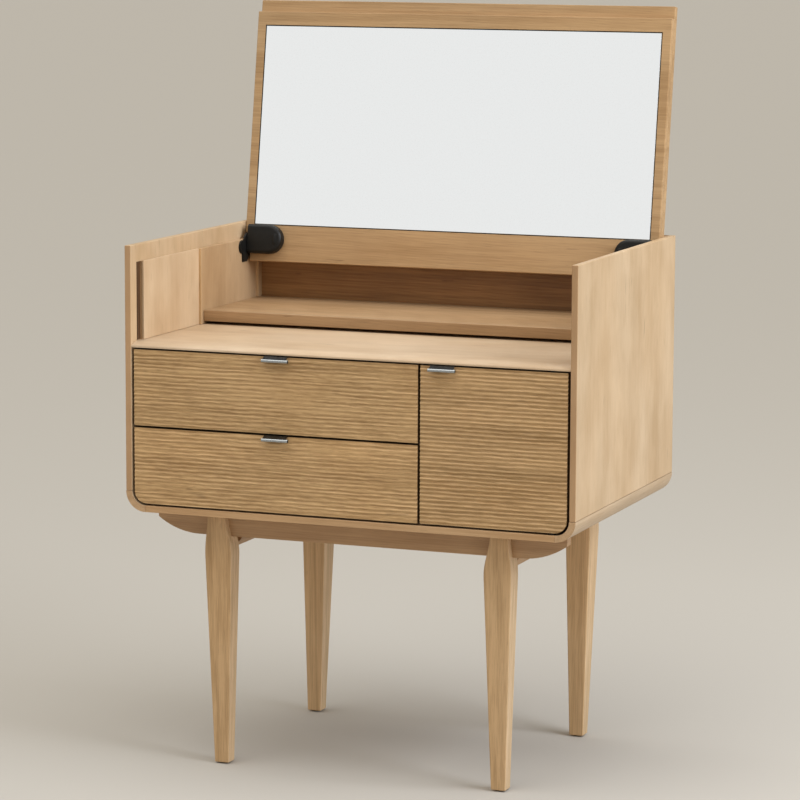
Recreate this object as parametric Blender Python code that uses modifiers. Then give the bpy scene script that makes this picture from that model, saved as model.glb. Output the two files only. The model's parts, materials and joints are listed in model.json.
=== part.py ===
"""Vanity table with a flip-up mirror lid, two drawers and a cupboard door.

Metres, +Z up, the front faces -Y. The origin is on the floor, under the middle of the
table as it stands with its lid open.
"""

import math

import bmesh
import bpy
from mathutils import Euler, Vector

# Carcass: a box of thin boards whose two lower corners are quarter-round mouldings.
WIDTH = 0.800
DEPTH = 0.535
SIDE_TOP = 0.890
CARCASS_BOTTOM = 0.439
CORNER_RADIUS = 0.035
PANEL = 0.011
FIT = 0.0003
REVEAL = 0.003
EDGE_ROUND = 0.0012
JOINT_ROUND = 0.0004

# Desk board and the storage ledge behind it.
DESK_TOP = 0.727
DESK_NOSE_UNDER = 0.7185
DESK_NOSE_LIP = 0.002
DESK_NOSE_DEPTH = 0.026
DESK_UNDER = 0.709
DESK_REBATE = 0.046
SHELF_FRONT = 0.2754
SHELF_UNDER = 0.7323
SHELF_THICK = 0.019

# Linings inside the niche. The closed lid rests on them.
LINING_TOP = 0.8605
FRONT_LINING = 0.004
REAR_LINING = 0.008
LINING_START = 0.043
LINING_STEP = 0.2667
GROOVE_FRONT = 0.023
GROOVE_DEPTH = 0.004

# Back, and the rail that stops the open lid.
BACK_FACE = 0.520
BACK_THICK = 0.012
REAR_RAIL_FACE = 0.5072
REAR_RAIL_HEIGHT = 0.014
REAR_STRIP_FACE = 0.505
REAR_STRIP_WIDE = 0.005
REAR_STRIP_TOP = 0.822

# Fronts.
FRONT_FACE = 0.001
FRONT_THICK = 0.018
FRONT_SPLIT_X = 0.1288
FRONT_SPLIT_Z = 0.5844
FRONT_TOP = DESK_NOSE_UNDER - REVEAL
RIB_PITCH = 0.0069
RIB_DEPTH = 0.0016
RIB_STEPS = 6
EDGE_GAP = 0.004
PARTITION_THICK = 0.018

# Drawer boxes and their two-part runners.
DRAWER_WALL = 0.012
DRAWER_BASE = 0.005
DRAWER_LENGTH = 0.430
UPPER_BOX = (0.606, 0.700)
LOWER_BOX = (0.480, 0.566)
RUNNER_THICK = 0.006
RUNNER_HIGH = 0.035
RUNNER_LENGTH = 0.400
RUNNER_START = 0.0235

# Pulls: bent steel strips hooked over the top edge of each front.
PULL_WIDE = 0.047
PULL_SHEET = 0.0015
PULL_REACH = 0.012
PULL_LIP = 0.009
PULL_TANG = 0.015
DRAWER_PULL_X = -0.1232
DOOR_PULL_X = 0.1712

# Door pivots: a pin above and one below, in from the hinged edge.
DOOR_AXIS = (0.357, 0.0095)
PIVOT_PIN_RADIUS = 0.003
PIVOT_HOLE_RADIUS = 0.0033
PIVOT_FLANGE_RADIUS = 0.007
PIVOT_FLANGE_THICK = 0.0012
PIVOT_PIN_LENGTH = 0.0137
PIVOT_HOLE_DEPTH = 0.0130

# Cupboard shelf and magnetic catch.
CUPBOARD_SHELF = (0.572, 0.584)
CUPBOARD_SHELF_FRONT = 0.055
CATCH_SIZE = (0.008, 0.018, 0.014)
CATCH_TOP = 0.704

# Base: two aprons with swept-up ends, two deeper rails and four tapered legs.
LEG_X = 0.2508
APRON_UNDER = 0.397
APRON_THICK = 0.018
APRON_FLAT_END = 0.290
APRON_END_RADIUS = 0.129
APRON_END = 0.367
REAR_TENON = 0.008
FRONT_APRON_FACE = 0.0585
REAR_APRON_FACE = 0.4798
RAIL_UNDER = 0.372
RAIL_THICK = 0.020
RAIL_SPAN = (0.0823, 0.4632)
RAIL_COPE = (0.052, 0.0215)
GLIDE_HIGH = 0.002
GLIDE_RADIUS = 0.009
LEG_FOOT = GLIDE_HIGH + FIT
LEG_FOOT_HALF = 0.013
LEG_TOP_HALF = 0.0155
LEG_KNEE_Z = 0.365
# Half width at the knee, and how far the neck above it drifts outward.
FRONT_KNEE = (0.0243, 0.003)
REAR_KNEE = (0.0225, 0.0)
FRONT_GLIDE_Y = 0.0702
REAR_GLIDE_Y = 0.4805
LEG_EDGE_ROUND = 0.002

# Lid, in its own frame: origin on the hinge axis, Y into the board, Z up along it.
LID_AXIS = (0.4635, 0.852)
LID_LEAN = math.radians(8.8)
LID_HALF = 0.3878
LID_FACE = 0.009
LID_INNER_THICK = 0.0137
LID_OUTER_THICK = 0.014
LID_BOTTOM = -0.0305
LID_INNER_TOP = 0.4184
LID_OUTER_TOP = 0.4405
LID_NOTCH_HALF = 0.3765
LID_NOTCH_TOP = 0.0205
MIRROR_HALF = 0.3709
MIRROR_SPAN = (0.0356, 0.3931)
MIRROR_THICK = 0.004
MIRROR_INSET = 0.0006
MIRROR_MARGIN = 0.0012

# Lid hinges: a black housing on the lid turning on a stub of the plate on the lining.
HOUSING_OUTER = 0.3762
HOUSING_LENGTH = 0.0645
HOUSING_SPAN = (-0.0175, 0.0345)
HOUSING_FRONT = -0.0090
HINGE_PLATE_THICK = 0.003
HINGE_PLATE_RADIUS = 0.019
HINGE_PLATE_FOOT = 0.8200
HINGE_TAB = (0.4415, 0.4585)
HINGE_BOSS = (0.4395, 0.8475)
HINGE_BOSS_RADIUS = 0.0120
HINGE_STUB_RADIUS = 0.005
HINGE_STUB_LENGTH = 0.011
HINGE_HOLE_RADIUS = 0.0055
HINGE_HOLE_DEPTH = 0.0120

HALF = WIDTH / 2
INNER = HALF - PANEL
CORNER_Z = CARCASS_BOTTOM + CORNER_RADIUS
CORNER_X = HALF - CORNER_RADIUS
FLOOR_TOP = CARCASS_BOTTOM + PANEL
FRONT_BACK = FRONT_FACE + FRONT_THICK
LID_OUTER_BACK = LID_FACE + LID_INNER_THICK + FIT + LID_OUTER_THICK
SIDES = (("left", -1), ("right", 1))

# The front plane stands where the pulls and the open lid reach equally far from the origin.
REACH_FRONT = FRONT_FACE - PULL_REACH
REACH_LID = LID_OUTER_BACK * math.cos(LID_LEAN) + (LID_OUTER_TOP - EDGE_ROUND) * math.sin(LID_LEAN)
FRONT_PLANE = -(REACH_FRONT + LID_AXIS[0] + REACH_LID) / 2


def clear_scene():
    for obj in list(bpy.data.objects):
        bpy.data.objects.remove(obj, do_unlink=True)


def make_collection(name):
    collection = bpy.data.collections.new(name)
    bpy.context.scene.collection.children.link(collection)
    return collection


def make_material(name, colour, roughness, metallic=0.0):
    material = bpy.data.materials.new(name)
    material.use_nodes = True
    shader = material.node_tree.nodes["Principled BSDF"]
    shader.inputs["Base Color"].default_value = (*colour, 1.0)
    shader.inputs["Roughness"].default_value = roughness
    shader.inputs["Metallic"].default_value = metallic
    material.diffuse_color = (*colour, 1.0)
    return material


def make_empty(name, location, rotation=(0.0, 0.0, 0.0), parent=None):
    empty = bpy.data.objects.new(name, None)
    PARTS.objects.link(empty)
    empty.location = location
    empty.rotation_euler = Euler(rotation)
    empty.parent = parent
    empty.empty_display_size = 0.05
    return empty


def make_object(name, mesh, location, material, parent, collection=None):
    """Links a mesh, places it in its parent's frame and gives it one material."""
    obj = bpy.data.objects.new(name, mesh)
    (collection or PARTS).objects.link(obj)
    obj.location = location
    obj.parent = parent
    if material is not None:
        mesh.materials.append(material)
    return obj


def soften(obj, width=EDGE_ROUND, segments=2):
    """Rounds the edges that turn by more than 30 degrees."""
    modifier = obj.modifiers.new("Edges", "BEVEL")
    modifier.width = width
    modifier.segments = segments
    modifier.limit_method = "ANGLE"
    modifier.angle_limit = math.radians(30)
    return obj


def boolean(obj, other, operation):
    modifier = obj.modifiers.new(operation.title(), "BOOLEAN")
    modifier.operation = operation
    modifier.solver = "EXACT"
    modifier.object = other
    return obj


def as_cutter(obj):
    obj.hide_render = True
    obj.display_type = "WIRE"
    return obj


def box(name, x, y, z, material=None, parent=None, collection=None):
    """A box between pairs of limits, its origin at its middle."""
    size = Vector((x[1] - x[0], y[1] - y[0], z[1] - z[0]))
    middle = Vector((x[0] + x[1], y[0] + y[1], z[0] + z[1])) / 2
    shape = bmesh.new()
    bmesh.ops.create_cube(shape, size=1.0)
    bmesh.ops.scale(shape, vec=size, verts=shape.verts)
    mesh = bpy.data.meshes.new(name)
    shape.to_mesh(mesh)
    shape.free()
    return make_object(name, mesh, middle, material, parent, collection)


def cylinder(name, radius, depth, location, axis, material=None, parent=None, collection=None, sides=24):
    """A cylinder along X or Z, its origin at its middle."""
    shape = bmesh.new()
    bmesh.ops.create_cone(
        shape, cap_ends=True, segments=sides, radius1=radius, radius2=radius, depth=depth
    )
    mesh = bpy.data.meshes.new(name)
    shape.to_mesh(mesh)
    shape.free()
    mesh.shade_smooth()
    mesh.set_sharp_from_angle(angle=math.radians(35))
    obj = make_object(name, mesh, location, material, parent, collection)
    if axis == "X":
        obj.rotation_euler = (0.0, math.pi / 2, 0.0)
    return obj


# Rotations that turn a flat outline's own axes to the object's, for each extrusion axis.
TURNED = {
    "X": Euler((math.pi / 2, 0.0, math.pi / 2)).to_matrix().to_4x4(),
    "Y": Euler((math.pi / 2, 0.0, 0.0)).to_matrix().to_4x4(),
}


def plate(name, points, axis, span, material=None, parent=None, collection=None):
    """A flat outline extruded along X (points are Y, Z) or along Y (points are X, Z)."""
    curve = bpy.data.curves.new(name, "CURVE")
    curve.dimensions = "2D"
    curve.fill_mode = "BOTH"
    curve.extrude = (span[1] - span[0]) / 2
    spline = curve.splines.new("POLY")
    spline.points.add(len(points) - 1)
    for point, (across, up) in zip(spline.points, points):
        point.co = (across, up, 0.0, 1.0)
    spline.use_cyclic_u = True
    drawn = bpy.data.objects.new(name + "_outline", curve)
    bpy.context.scene.collection.objects.link(drawn)
    graph = bpy.context.evaluated_depsgraph_get()
    mesh = bpy.data.meshes.new_from_object(drawn.evaluated_get(graph))
    bpy.data.objects.remove(drawn, do_unlink=True)
    mesh.name = name
    shape = bmesh.new()
    shape.from_mesh(mesh)
    bmesh.ops.remove_doubles(shape, verts=shape.verts, dist=1e-6)
    bmesh.ops.dissolve_limit(
        shape, angle_limit=math.radians(0.01), verts=shape.verts, edges=shape.edges
    )
    bmesh.ops.transform(shape, matrix=TURNED[axis], verts=shape.verts)
    bmesh.ops.recalc_face_normals(shape, faces=shape.faces)
    shape.to_mesh(mesh)
    shape.free()
    mesh.shade_smooth()
    mesh.set_sharp_from_angle(angle=math.radians(30))
    middle = (span[0] + span[1]) / 2
    location = (middle, 0.0, 0.0) if axis == "X" else (0.0, middle, 0.0)
    return make_object(name, mesh, location, material, parent, collection)


def arc(centre, radii, start, end, steps):
    """Points on an ellipse from one angle to another, in degrees."""
    points = []
    for step in range(steps + 1):
        angle = math.radians(start + (end - start) * step / steps)
        across = centre[0] + radii[0] * math.cos(angle)
        points.append((across, centre[1] + radii[1] * math.sin(angle)))
    return points


def span_of(side, near, far):
    """Limits along X of a piece that lies between two distances from the middle."""
    return tuple(sorted((side * near, side * far)))


def mirrored(points, side):
    """An outline drawn for the right, turned over for the left."""
    return points if side > 0 else [(-across, up) for across, up in reversed(points)]


def build_sides():
    for label, side in SIDES:
        panel = box(
            label + "_side_panel",
            span_of(side, INNER, HALF),
            (0.0, DEPTH),
            (CORNER_Z + FIT, SIDE_TOP),
            OAK,
            TABLE,
        )
        soften(panel)
        groove = box(
            label + "_groove_cutter",
            span_of(side, INNER - GROOVE_DEPTH, INNER + GROOVE_DEPTH),
            (GROOVE_FRONT, LINING_START),
            (DESK_TOP, LINING_TOP),
            parent=TABLE,
            collection=CUTTERS,
        )
        boolean(panel, as_cutter(groove), "DIFFERENCE")
        inner_radius = CORNER_RADIUS - PANEL
        centre = (CORNER_X, CORNER_Z)
        ring = arc(centre, (CORNER_RADIUS, CORNER_RADIUS), -90, 0, 14)
        ring += arc(centre, (inner_radius, inner_radius), 0, -90, 14)
        plate(
            label + "_corner_moulding",
            mirrored(ring, side),
            "Y",
            (0.0, DEPTH),
            OAK,
            TABLE,
        )


def build_linings():
    for label, side in SIDES:
        outer = INNER - FIT
        front = box(
            label + "_front_lining",
            span_of(side, outer - FRONT_LINING, outer),
            (LINING_START, LINING_STEP - FIT),
            (DESK_TOP + FIT, LINING_TOP),
            OAK,
            TABLE,
        )
        soften(front, EDGE_ROUND / 2, 1)
        rear = box(
            label + "_rear_lining",
            span_of(side, outer - REAR_LINING, outer),
            (LINING_STEP, BACK_FACE - FIT),
            (DESK_TOP + FIT, LINING_TOP),
            OAK,
            TABLE,
        )
        soften(rear, EDGE_ROUND / 2, 1)
        strip = box(
            label + "_rear_strip",
            span_of(side, outer - REAR_LINING - REAR_STRIP_WIDE, outer - FRONT_LINING),
            (REAR_STRIP_FACE, BACK_FACE - FIT),
            (SHELF_UNDER + SHELF_THICK + FIT, REAR_STRIP_TOP),
            parent=TABLE,
            collection=CUTTERS,
        )
        boolean(rear, as_cutter(strip), "UNION")


def build_boards():
    across = (-INNER + FIT, INNER - FIT)
    flat = CORNER_X - FIT
    floor_z = (CARCASS_BOTTOM, FLOOR_TOP)
    soften(box("bottom_board", (-flat, flat), (0.0, DEPTH), floor_z, OAK, TABLE), JOINT_ROUND, 1)
    nose_radii = (DESK_NOSE_DEPTH, DESK_TOP - DESK_NOSE_UNDER - DESK_NOSE_LIP)
    nose_centre = (FRONT_FACE + DESK_NOSE_DEPTH, DESK_TOP - nose_radii[1])
    desk = [(FRONT_FACE, DESK_NOSE_UNDER)]
    desk += arc(nose_centre, nose_radii, 180, 90, 8)
    desk += [(BACK_FACE - FIT, DESK_TOP), (BACK_FACE - FIT, DESK_UNDER)]
    desk += [(DESK_REBATE, DESK_UNDER), (DESK_REBATE, DESK_NOSE_UNDER)]
    plate("desk_board", desk, "X", across, OAK, TABLE)
    shelf_end = INNER - FIT - REAR_LINING - FIT
    shelf = box(
        "rear_shelf",
        (-shelf_end, shelf_end),
        (SHELF_FRONT, BACK_FACE - FIT),
        (SHELF_UNDER, SHELF_UNDER + SHELF_THICK),
        OAK,
        TABLE,
    )
    soften(shelf)
    fit_radius = CORNER_RADIUS - PANEL - FIT
    back = [(across[1], SIDE_TOP), (across[0], SIDE_TOP)]
    back += arc((-CORNER_X, CORNER_Z), (fit_radius, fit_radius), -180, -90, 8)
    back += arc((CORNER_X, CORNER_Z), (fit_radius, fit_radius), -90, 0, 8)
    back_y = (BACK_FACE, BACK_FACE + BACK_THICK)
    soften(plate("back_panel", back, "Y", back_y, OAK, TABLE))
    rail_z = (SIDE_TOP - REAR_RAIL_HEIGHT, SIDE_TOP - FIT)
    rail_y = (REAR_RAIL_FACE, BACK_FACE - FIT)
    soften(box("rear_top_rail", across, rail_y, rail_z, OAK, TABLE))
    half = PARTITION_THICK / 2
    box(
        "partition",
        (FRONT_SPLIT_X - half, FRONT_SPLIT_X + half),
        (FRONT_BACK + REVEAL, BACK_FACE - FIT),
        (FLOOR_TOP + FIT, DESK_UNDER - FIT),
        OAK,
        TABLE,
    )


def build_cupboard():
    wall = FRONT_SPLIT_X + PARTITION_THICK / 2 + FIT
    box(
        "cupboard_shelf",
        (wall, INNER - FIT),
        (CUPBOARD_SHELF_FRONT, BACK_FACE - FIT),
        CUPBOARD_SHELF,
        OAK,
        TABLE,
    )
    catch_front = FRONT_BACK + 2 * FIT
    box(
        "door_catch",
        (wall, wall + CATCH_SIZE[0]),
        (catch_front, catch_front + CATCH_SIZE[1]),
        (CATCH_TOP - CATCH_SIZE[2], CATCH_TOP),
        STEEL,
        TABLE,
    )


def leg_front_outline(knee_half, drift):
    """Outline of a leg from the front: a taper, then a cosine neck that drifts sideways above the knee."""
    top = CARCASS_BOTTOM - FIT
    stations = [(0.0, LEG_FOOT_HALF, LEG_FOOT)]
    steps = 10
    for step in range(steps + 1):
        share = step / steps
        blend = (1 - math.cos(math.pi * share)) / 2
        half = knee_half + (LEG_TOP_HALF - knee_half) * blend
        stations.append((drift * blend, half, LEG_KNEE_Z + (top - LEG_KNEE_Z) * share))
    right = [(middle + half, height) for middle, half, height in stations]
    left = [(middle - half, height) for middle, half, height in reversed(stations)]
    return right + left


def front_leg_profile():
    """Side outline of a front leg, whose tongue stands in front of the apron."""
    top = CARCASS_BOTTOM - FIT
    back = RAIL_SPAN[0] - FIT
    return [(0.0575, LEG_FOOT), (0.083, LEG_FOOT), (back, RAIL_UNDER), (back, top), (0.0425, top)]


def rear_leg_profile():
    """Side outline of a rear leg, which tapers on its back."""
    top = CARCASS_BOTTOM - FIT
    back = [(0.4935, LEG_FOOT), (0.517, RAIL_UNDER), (0.518, top)]
    return [(0.4675, LEG_FOOT)] + back + [(RAIL_SPAN[1] + FIT, top)]


def build_leg(name, side, profile, knee, slot, slot_end):
    """A tapered leg, slotted for an apron between two limits along Y and out to a limit along X."""
    x = span_of(side, LEG_X - 0.05, LEG_X + 0.05)
    slot_x = span_of(side, LEG_X - 0.05, slot_end)
    reach = (profile[0][0] - 0.05, profile[0][0] + 0.1)
    half, drift = knee
    outline = [(side * LEG_X + across, up) for across, up in leg_front_outline(half, side * drift)]
    leg = plate(name, profile, "X", x, OAK, TABLE)
    face = plate(name + "_face", outline, "Y", reach, parent=TABLE, collection=CUTTERS)
    boolean(leg, as_cutter(face), "INTERSECT")
    soften(leg, LEG_EDGE_ROUND)
    z = (APRON_UNDER - FIT, CARCASS_BOTTOM + 0.01)
    seat = box(name + "_slot", slot_x, slot, z, parent=TABLE, collection=CUTTERS)
    boolean(leg, as_cutter(seat), "DIFFERENCE")


def build_glide(name, x, y):
    glide = cylinder(name, GLIDE_RADIUS, GLIDE_HIGH, (x, y, GLIDE_HIGH / 2), "Z", RUBBER, TABLE)
    soften(glide, GLIDE_HIGH / 4, 1)


def build_base():
    top = CARCASS_BOTTOM - FIT
    radii = (APRON_END_RADIUS, APRON_END_RADIUS)
    centre_z = APRON_UNDER + APRON_END_RADIUS
    sweep = math.degrees(math.asin((APRON_END - APRON_FLAT_END) / APRON_END_RADIUS))
    swept = [(APRON_END, top), (-APRON_END, top)]
    swept += arc((-APRON_FLAT_END, centre_z), radii, -90 - sweep, -90, 10)
    swept += arc((APRON_FLAT_END, centre_z), radii, -90, sweep - 90, 10)
    front_y = (FRONT_APRON_FACE, FRONT_APRON_FACE + APRON_THICK)
    soften(plate("front_apron", swept, "Y", front_y, OAK, TABLE), EDGE_ROUND, 1)
    rear_end = LEG_X + REAR_TENON - FIT
    rear_y = (REAR_APRON_FACE, REAR_APRON_FACE + APRON_THICK)
    soften(box("rear_apron", (-rear_end, rear_end), rear_y, (APRON_UNDER, top), OAK, TABLE), EDGE_ROUND, 1)
    start, end = RAIL_SPAN
    rail = [(start, RAIL_UNDER), (end, RAIL_UNDER), (end, top)]
    rail += [(front_y[1] + FIT, top), (front_y[1] + FIT, APRON_UNDER)]
    rail += arc((start, APRON_UNDER), RAIL_COPE, 0, -90, 8)
    for label, side in SIDES:
        span = span_of(side, LEG_X - RAIL_THICK / 2, LEG_X + RAIL_THICK / 2)
        soften(plate(label + "_rail", rail, "X", span, OAK, TABLE), EDGE_ROUND, 1)
        front_slot = (FRONT_APRON_FACE - FIT, RAIL_SPAN[0] + 0.01)
        rear_slot = (REAR_APRON_FACE - FIT, REAR_APRON_FACE + APRON_THICK + FIT)
        through = LEG_X + 0.05
        tenon = LEG_X + REAR_TENON
        build_leg("front_" + label + "_leg", side, front_leg_profile(), FRONT_KNEE, front_slot, through)
        build_leg("rear_" + label + "_leg", side, rear_leg_profile(), REAR_KNEE, rear_slot, tenon)
        build_glide("front_" + label + "_glide", side * LEG_X, FRONT_GLIDE_Y)
        build_glide("rear_" + label + "_glide", side * LEG_X, REAR_GLIDE_Y)


def ribbed_front(name, x, z, rounded, parent, offset):
    """A front whose face is a row of level reeds; one lower corner may be rounded."""
    height = z[1] - z[0]
    ribs = round(height / RIB_PITCH)
    face = []
    for step in range(ribs * RIB_STEPS + 1):
        wave = (1 - math.cos(2 * math.pi * step / RIB_STEPS)) / 2
        face.append((FRONT_FACE + RIB_DEPTH * wave, z[1] - height * step / (ribs * RIB_STEPS)))
    profile = face + [(FRONT_BACK, z[0]), (FRONT_BACK, z[1])]
    profile = [(across - offset[1], up - offset[2]) for across, up in profile]
    span = (x[0] - offset[0], x[1] - offset[0])
    front = plate(name, profile, "X", span, OAK_RIBBED, parent)
    if rounded == 0:
        return front
    radius = CORNER_RADIUS - PANEL - EDGE_GAP
    over = 0.01
    edge = x[1] if rounded > 0 else -x[0]
    inner = x[0] if rounded > 0 else -x[1]
    outline = [(inner - over, z[1] + over), (inner - over, z[0])]
    outline += arc((edge - radius, z[0] + radius), (radius, radius), -90, 0, 10)
    outline += [(edge, z[1] + over)]
    outline = mirrored(outline, rounded)
    outline = [(across - offset[0], up - offset[2]) for across, up in outline]
    reach = (FRONT_FACE - over - offset[1], FRONT_BACK + over - offset[1])
    corner = plate(name + "_corner", outline, "Y", reach, parent=parent, collection=CUTTERS)
    return boolean(front, as_cutter(corner), "INTERSECT")


def build_pull(name, x, top, parent, offset):
    """A strip hooked over the top edge of a front: tang behind, shelf over, lip in front."""
    under = top + FIT
    over = under + PULL_SHEET
    tip = FRONT_FACE - PULL_REACH
    back = FRONT_BACK + FIT
    outline = [(tip, over), (tip, over - PULL_LIP), (tip + PULL_SHEET, over - PULL_LIP)]
    outline += [(tip + PULL_SHEET, under), (back, under), (back, under - PULL_TANG)]
    outline += [(back + PULL_SHEET, under - PULL_TANG), (back + PULL_SHEET, over)]
    outline = [(across - offset[1], up - offset[2]) for across, up in outline]
    span = (x - PULL_WIDE / 2 - offset[0], x + PULL_WIDE / 2 - offset[0])
    return soften(plate(name, outline, "X", span, STEEL, parent), 0.0004, 1)


def build_drawer(label, box_z, front_z, rounded):
    slide = make_empty(label + "_drawer_slide", (0.0, 0.0, box_z[0]), parent=TABLE)
    offset = (0.0, 0.0, box_z[0])
    start = FRONT_BACK + FIT
    end = start + DRAWER_LENGTH
    left_wall = -INNER
    right_wall = FRONT_SPLIT_X - PARTITION_THICK / 2
    side_gap = 2 * RUNNER_THICK + 3 * FIT
    outer = (left_wall + side_gap, right_wall - side_gap)
    inner = (outer[0] + DRAWER_WALL, outer[1] - DRAWER_WALL)
    height = box_z[1] - box_z[0]
    front_x = (-INNER + EDGE_GAP, FRONT_SPLIT_X - REVEAL / 2)
    prefix = label + "_drawer_"
    ribbed_front(prefix + "front", front_x, front_z, rounded, slide, offset)
    build_pull(prefix + "handle", DRAWER_PULL_X, front_z[1], slide, offset)
    box(prefix + "left_side", (outer[0], inner[0]), (start, end), (0.0, height), PINE, slide)
    box(prefix + "right_side", (inner[1], outer[1]), (start, end), (0.0, height), PINE, slide)
    between = (inner[0] + FIT, inner[1] - FIT)
    box(prefix + "back", between, (end - DRAWER_WALL, end), (0.0, height), PINE, slide)
    box(prefix + "base", between, (start, end - DRAWER_WALL - FIT), (0.0, DRAWER_BASE), PINE, slide)
    level = (height - RUNNER_HIGH) / 2
    run = (RUNNER_START, RUNNER_START + RUNNER_LENGTH)
    for side_label, side, wall in (("left", 1, left_wall), ("right", -1, right_wall)):
        fixed = sorted((wall + side * FIT, wall + side * (FIT + RUNNER_THICK)))
        moving = [edge + side * (FIT + RUNNER_THICK) for edge in fixed]
        name = prefix + side_label
        floor = box_z[0] + level
        box(name + "_runner_rail", fixed, run, (floor, floor + RUNNER_HIGH), STEEL, TABLE)
        # The slider stands off both the rail and the drawer side by the fitting gap.
        box(name + "_runner_slider", moving, run, (level, level + RUNNER_HIGH), STEEL, slide)


def pivot_profile(pin_up):
    """Half section of a door pivot, outer side from top to bottom."""
    flange = (PIVOT_FLANGE_RADIUS, PIVOT_FLANGE_THICK)
    points = [(0.0, PIVOT_PIN_LENGTH), (PIVOT_PIN_RADIUS, PIVOT_PIN_LENGTH)]
    points += [(PIVOT_PIN_RADIUS, flange[1]), flange, (flange[0], 0.0), (0.0, 0.0)]
    if pin_up:
        return points
    return [(radius, -height) for radius, height in reversed(points)]


def build_pivot(name, pin_up, height):
    profile = pivot_profile(pin_up)
    shape = bmesh.new()
    verts = [shape.verts.new((radius, 0.0, level)) for radius, level in profile]
    for first, second in zip(verts, verts[1:]):
        shape.edges.new((first, second))
    mesh = bpy.data.meshes.new(name)
    shape.to_mesh(mesh)
    shape.free()
    pivot = make_object(name, mesh, (*DOOR_AXIS, height), STEEL, TABLE)
    screw = pivot.modifiers.new("Turn", "SCREW")
    screw.steps = 20
    screw.render_steps = 20
    screw.use_merge_vertices = True
    screw.merge_threshold = 0.00001
    screw.use_smooth_shade = False


def build_door():
    hinge = make_empty("door_hinge", (*DOOR_AXIS, FLOOR_TOP), parent=TABLE)
    offset = (*DOOR_AXIS, FLOOR_TOP)
    door_x = (FRONT_SPLIT_X + REVEAL / 2, INNER - EDGE_GAP)
    door_z = (FLOOR_TOP + REVEAL, FRONT_TOP)
    door = ribbed_front("door", door_x, door_z, 1, hinge, offset)
    for label, end in (("bottom", door_z[0]), ("top", door_z[1])):
        place = (0.0, 0.0, end - FLOOR_TOP)
        hole = cylinder(
            "door_" + label + "_hole",
            PIVOT_HOLE_RADIUS,
            2 * PIVOT_HOLE_DEPTH,
            place,
            "Z",
            parent=hinge,
            collection=CUTTERS,
            sides=16,
        )
        boolean(door, as_cutter(hole), "DIFFERENCE")
    build_pull("door_handle", DOOR_PULL_X, door_z[1], hinge, offset)
    build_pivot("door_bottom_pivot", True, FLOOR_TOP + FIT)
    build_pivot("door_top_pivot", False, DESK_NOSE_UNDER - FIT)


def lid_board(name, y, top, hinge):
    """A board of the lid, its lower corners cut away to pass between the linings."""
    board = box(name, (-LID_HALF, LID_HALF), y, (LID_BOTTOM, top), OAK, hinge)
    soften(board)
    over = 0.01
    for label, side in SIDES:
        notch = box(
            name + "_" + label + "_notch",
            span_of(side, LID_NOTCH_HALF, LID_HALF + over),
            (y[0] - over, y[1] + over),
            (LID_BOTTOM - over, LID_NOTCH_TOP),
            parent=hinge,
            collection=CUTTERS,
        )
        boolean(board, as_cutter(notch), "DIFFERENCE")
    return board


def build_housing(label, side, hinge):
    """A D-shaped hinge housing, blind-bored at its flat end for the plate's stub."""
    radius = (HOUSING_SPAN[1] - HOUSING_SPAN[0]) / 2
    middle = (HOUSING_SPAN[0] + HOUSING_SPAN[1]) / 2
    round_at = HOUSING_OUTER - HOUSING_LENGTH + radius
    outline = [(HOUSING_OUTER, HOUSING_SPAN[0]), (HOUSING_OUTER, HOUSING_SPAN[1])]
    outline += arc((round_at, middle), (radius, radius), 90, 270, 16)
    reach = (HOUSING_FRONT, LID_FACE - FIT)
    housing = plate(label + "_hinge_housing", mirrored(outline, side), "Y", reach, BLACK, hinge)
    soften(housing, 0.0025)
    bore = cylinder(
        label + "_housing_bore",
        HINGE_HOLE_RADIUS,
        2 * HINGE_HOLE_DEPTH,
        (side * HOUSING_OUTER, 0.0, 0.0),
        "X",
        parent=hinge,
        collection=CUTTERS,
    )
    boolean(housing, as_cutter(bore), "DIFFERENCE")


def build_hinge_plate(label, side):
    """The fixed half of a lid hinge: a round head, a boss before it, a tab below and a stub on the axis."""
    outline = [(HINGE_TAB[0], HINGE_PLATE_FOOT), (HINGE_TAB[1], HINGE_PLATE_FOOT)]
    outline += arc(LID_AXIS, (HINGE_PLATE_RADIUS, HINGE_PLATE_RADIUS), -60, 155, 14)
    outline += arc(HINGE_BOSS, (HINGE_BOSS_RADIUS, HINGE_BOSS_RADIUS), 60, 276, 12)
    lining = INNER - FIT - REAR_LINING - FIT
    span = span_of(side, lining - HINGE_PLATE_THICK, lining)
    plate_obj = plate(label + "_hinge_plate", outline, "X", span, BLACK, TABLE)
    overlap = 0.001
    near = lining - HINGE_PLATE_THICK - HINGE_STUB_LENGTH
    far = lining - HINGE_PLATE_THICK + overlap
    stub = cylinder(
        label + "_hinge_stub",
        HINGE_STUB_RADIUS,
        far - near,
        (side * (near + far) / 2, *LID_AXIS),
        "X",
        parent=TABLE,
        collection=CUTTERS,
    )
    boolean(plate_obj, as_cutter(stub), "UNION")


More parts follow.
